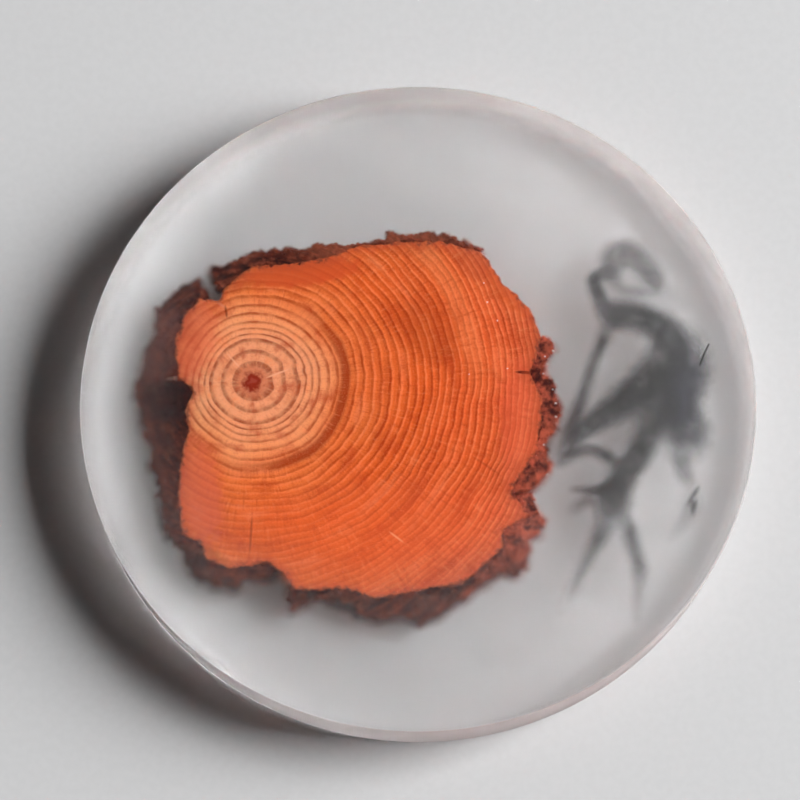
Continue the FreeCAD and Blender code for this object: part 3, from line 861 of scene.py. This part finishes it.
def set_strength(veil, strengths):
    """Strength of the ink at each point of a veil, from those at its middle line's points."""
    mesh = veil.data
    along = mesh.uv_layers[0].data
    strength = mesh.attributes.new("ink_strength", "FLOAT", "POINT")
    last = len(strengths) - 1
    for loop in mesh.loops:
        place = min(max(along[loop.index].uv.x, 0.0), 1.0) * last
        low = min(int(place), last - 1)
        part = place - low
        strength.data[loop.vertex_index].value = strengths[low] * (1 - part) + strengths[low + 1] * part


def ink_strand(node, strands, section, ink):
    """The strands of one node, each as a few veils that lie close over each other."""
    veils = []
    for points in strands:
        share = [1 - (1 - point[4]) ** (1 / VEILS) for point in points]
        for number in range(VEILS):
            step = number - (VEILS - 1) / 2
            veil = one_veil(section, points, step * VEIL_GAP, step * VEIL_SLIDE)
            set_strength(veil, share)
            veils.append(veil)
    deselect()
    for veil in veils:
        veil.select_set(True)
    bpy.context.view_layer.objects.active = veils[0]
    bpy.ops.object.join()
    strand = bpy.context.object
    strand.name = node.replace("ink", "drawn_ink")
    place_in_mesh(strand)
    bpy.ops.object.shade_smooth()
    strand.data.materials.clear()
    strand.data.materials.append(ink)
    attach(strand, "root")
    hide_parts(node)
    return strand


# ---------------------------------------------------------------- the small things near the top

# Two short bent hairs, each as points x, y, z in millimetres.
HAIRS = [
    [(38.75, 8.5, 8.45), (38.5, 8.0, 8.45), (38.3, 7.5, 8.44), (38.0, 7.0, 8.44), (37.9, 6.7, 8.43)],
    [(38.05, 6.9, 8.46), (37.9, 6.6, 8.46), (37.75, 6.3, 8.45), (37.6, 5.9, 8.44), (37.5, 5.5, 8.44)],
]
# Pinhead bubbles, drawn as white beads that paint the glints of light on trapped air: x, y and z of each, and
# its radius, in millimetres.
BUBBLES = [
    (18.0, 7.6, 8.0, 0.16), (17.2, 5.7, 8.1, 0.14), (16.65, 4.4, 8.1, 0.12), (18.3, 0.3, 8.0, 0.15),
    (18.3, -1.6, 8.0, 0.16), (16.65, -5.5, 8.1, 0.12), (17.5, -7.0, 8.0, 0.14), (9.25, 14.4, 8.2, 0.13),
    (11.9, 5.1, 8.2, 0.11), (8.8, 17.1, 8.2, 0.10), (6.8, 4.3, 8.2, 0.09), (16.9, 6.8, 8.1, 0.10),
    (17.9, 2.2, 8.1, 0.11), (17.1, -9.6, 8.1, 0.13), (10.6, 11.8, 8.2, 0.10),
]


def dark_fibre(finish):
    """A hair caught in the resin, broken in two."""
    hairs = []
    for points in HAIRS:
        deselect()
        bpy.ops.curve.primitive_nurbs_path_add()
        hair = bpy.context.object
        for point, (x, y, z) in zip(hair.data.splines[0].points, points):
            point.co = (x * MM, y * MM, z * MM, 1.0)
        hair.data.splines[0].use_endpoint_u = True
        hair.data.bevel_depth = 0.11 * MM
        hair.data.bevel_resolution = 2
        hair.data.use_fill_caps = True
        pick(hair)
        bpy.ops.object.convert(target="MESH")
        hairs.append(bpy.context.object)
    joined(hairs, "dark_fibre", finish)
    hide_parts("fibre")


def pinhead_bubbles(finish):
    """A few specks of trapped air by the right edge of the wood, as white beads: painted glints."""
    beads = []
    for x, y, z, radius in BUBBLES:
        deselect()
        bpy.ops.mesh.primitive_uv_sphere_add(
            segments=12, ring_count=8, radius=radius * MM, location=(x * MM, y * MM, z * MM)
        )
        bpy.ops.transform.resize(value=(1.0, 0.85, 0.7))
        beads.append(bpy.context.object)
    joined(beads, "pinhead_bubbles", finish)


def joined(parts, name, finish):
    """The parts as one smooth piece with one finish, riding with the disc and left active."""
    deselect()
    for part in parts:
        part.select_set(True)
    bpy.context.view_layer.objects.active = parts[0]
    bpy.ops.object.join()
    piece = bpy.context.object
    piece.name = name
    place_in_mesh(piece)
    bpy.ops.object.shade_smooth()
    piece.data.materials.clear()
    piece.data.materials.append(finish)
    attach(piece, "root")


# ---------------------------------------------------------------- floor, light and camera

def studio():
    """Pale floor, one tall soft light to the right and hardly any light from elsewhere."""
    deselect()
    bpy.ops.mesh.primitive_plane_add(size=3.0, location=(0, 0, -0.15 * MM))
    floor = bpy.context.object
    floor.name = "pale_floor"
    floor.data.materials.append(plain("pale_table", (0.5, 0.5, 0.505, 1.0), 0.9, specular=0.1))

    turn = math.radians(7.5)
    rise = math.radians(31.8)
    distance = 2.2
    bpy.ops.object.light_add(
        type="AREA",
        location=(
            distance * math.cos(rise) * math.cos(turn),
            distance * math.cos(rise) * math.sin(turn),
            distance * math.sin(rise),
        ),
    )
    soft = bpy.context.object
    soft.name = "soft_window"
    soft.data.shape = "RECTANGLE"
    soft.data.size = 1.3
    soft.data.size_y = 1.5
    soft.data.energy = 126.0
    soft.rotation_mode = "QUATERNION"
    soft.rotation_quaternion = Vector(soft.location).to_track_quat("Z", "Y")

    world = bpy.data.worlds.new("dim_room")
    world.use_nodes = True
    world.node_tree.nodes["Background"].inputs["Color"].default_value = (1.0, 1.0, 1.0, 1.0)
    world.node_tree.nodes["Background"].inputs["Strength"].default_value = 0.06
    bpy.context.scene.world = world


def camera():
    """Long lens, a little short of straight down."""
    rise = math.radians(72.4)
    lens = 300.0
    distance = 0.885
    centre = Vector((0, 0, THICKNESS))
    off_centre = Vector((-2.4 * MM, 0, 0))
    back = Vector((0, -math.cos(rise), math.sin(rise)))
    upward = Vector((0, math.sin(rise), math.cos(rise)))
    aim = centre + off_centre + upward * 0.55 * MM
    bpy.ops.object.camera_add(location=aim + back * distance)
    eye = bpy.context.object
    eye.name = "table_view"
    eye.data.lens = lens
    eye.data.sensor_width = 36.0
    eye.data.clip_start = 0.01
    eye.rotation_mode = "QUATERNION"
    eye.rotation_quaternion = back.to_track_quat("Z", "Y")
    bpy.context.scene.camera = eye
    bpy.context.scene.view_settings.view_transform = "Standard"
    paths = bpy.context.scene.cycles
    paths.max_bounces = 32
    paths.diffuse_bounces = 10
    paths.glossy_bounces = 24
    paths.transmission_bounces = 32
    paths.transparent_max_bounces = 48
    paths.sample_clamp_indirect = 0.0
    paths.blur_glossy = 0.0


def main():
    camera()
    studio()
    cast_disc(
        rubbed_resin("satin_top", (1.0, 1.0, 1.0), (1.0, 1.0, 1.0), 0.24, 0.24, 0.0, 3.0),
        # The wall's second tint paints shade on its front.
        rubbed_resin("rubbed_wall", (1.0, 0.94, 0.915), (0.82, 0.69, 0.67), 0.3, 0.66, 0.2, 0.0),
        rubbed_resin("whitened_foot", (0.975, 0.99, 1.0), (0.975, 0.99, 1.0), 0.8, 0.95, 0.42, 0.0),
    )
    sawn_slice(end_grain())
    bark = old_bark()
    wood_edge = outline_tree("wood_slice")
    for node in BARK_NODES:
        bark_length(node, bark, wood_edge)
    section = across_line()
    ink = drawn_ink()
    for node, strands in INK.items():
        ink_strand(node, strands, section, ink)
    bpy.data.objects.remove(section)
    dark_fibre(plain("black_hair", (0.01, 0.01, 0.01, 1.0), 0.7, specular=0.0))
    # White beads: painted glints on the trapped air.
    pinhead_bubbles(plain("painted_glint_white", (0.97, 0.96, 0.95, 1.0), 0.3))


main()
